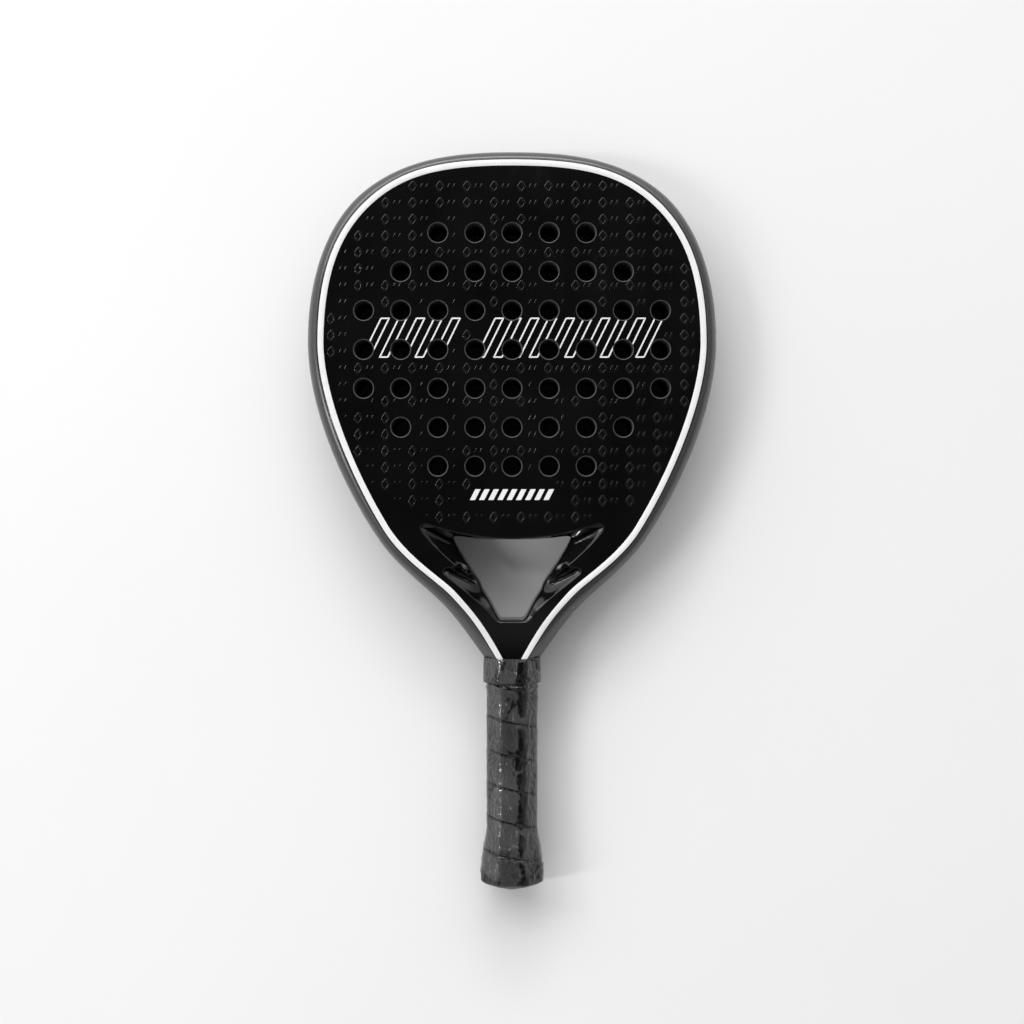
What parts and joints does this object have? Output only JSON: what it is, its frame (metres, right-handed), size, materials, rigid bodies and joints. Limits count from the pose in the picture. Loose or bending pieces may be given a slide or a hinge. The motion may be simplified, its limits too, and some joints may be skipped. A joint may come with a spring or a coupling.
{
  "type": "padel racket",
  "caption": "Teardrop padel racket with a perforated glossy face, a white border, an open throat and a film-wrapped octagonal grip.",
  "frame": {"origin": "middle of the racket's footprint on the surface it lies on, under its back face", "axes": "+X across the face, +Y from the butt of the handle to the crown of the head, +Z out of the front face"},
  "size_m": [0.2518, 0.455, 0.038],
  "materials": {
    "frame_paint": "satin grey paint over carbon laminate",
    "foam": "closed-cell foam, dull",
    "face_gloss": "black lacquered laminate, gloss",
    "border_white": "white under clear lacquer",
    "bridge_gloss": "black lacquered moulding, gloss",
    "sleeve_laminate": "bare laminate, matt",
    "grip_cushion": "soft cushion tape, matt",
    "tape": "vinyl tape",
    "collar_rubber": "moulded rubber, satin",
    "clear_film": "clear wrinkled protective film",
    "cap_plastic": "moulded plastic, satin",
    "staple_steel": "drawn steel wire"
  },
  "bodies": {
    "root": {"frame_tube": "frame_paint", "core_foam": "foam", "front_face": "face_gloss", "back_face": "face_gloss", "front_throat_skin": "face_gloss", "back_throat_skin": "face_gloss", "front_border_decal": "border_white", "back_border_decal": "border_white", "throat_bridge": "bridge_gloss", "handle_core": "foam", "handle_sleeve": "sleeve_laminate", "base_grip": "grip_cushion", "finishing_tape": "tape", "grip_collar": "collar_rubber", "grip_film": "clear_film", "butt_cap": "cap_plastic", "cap_staple_front": "staple_steel", "cap_staple_left": "staple_steel", "cap_staple_back": "staple_steel", "cap_staple_right": "staple_steel"}
  },
  "joints": []
}
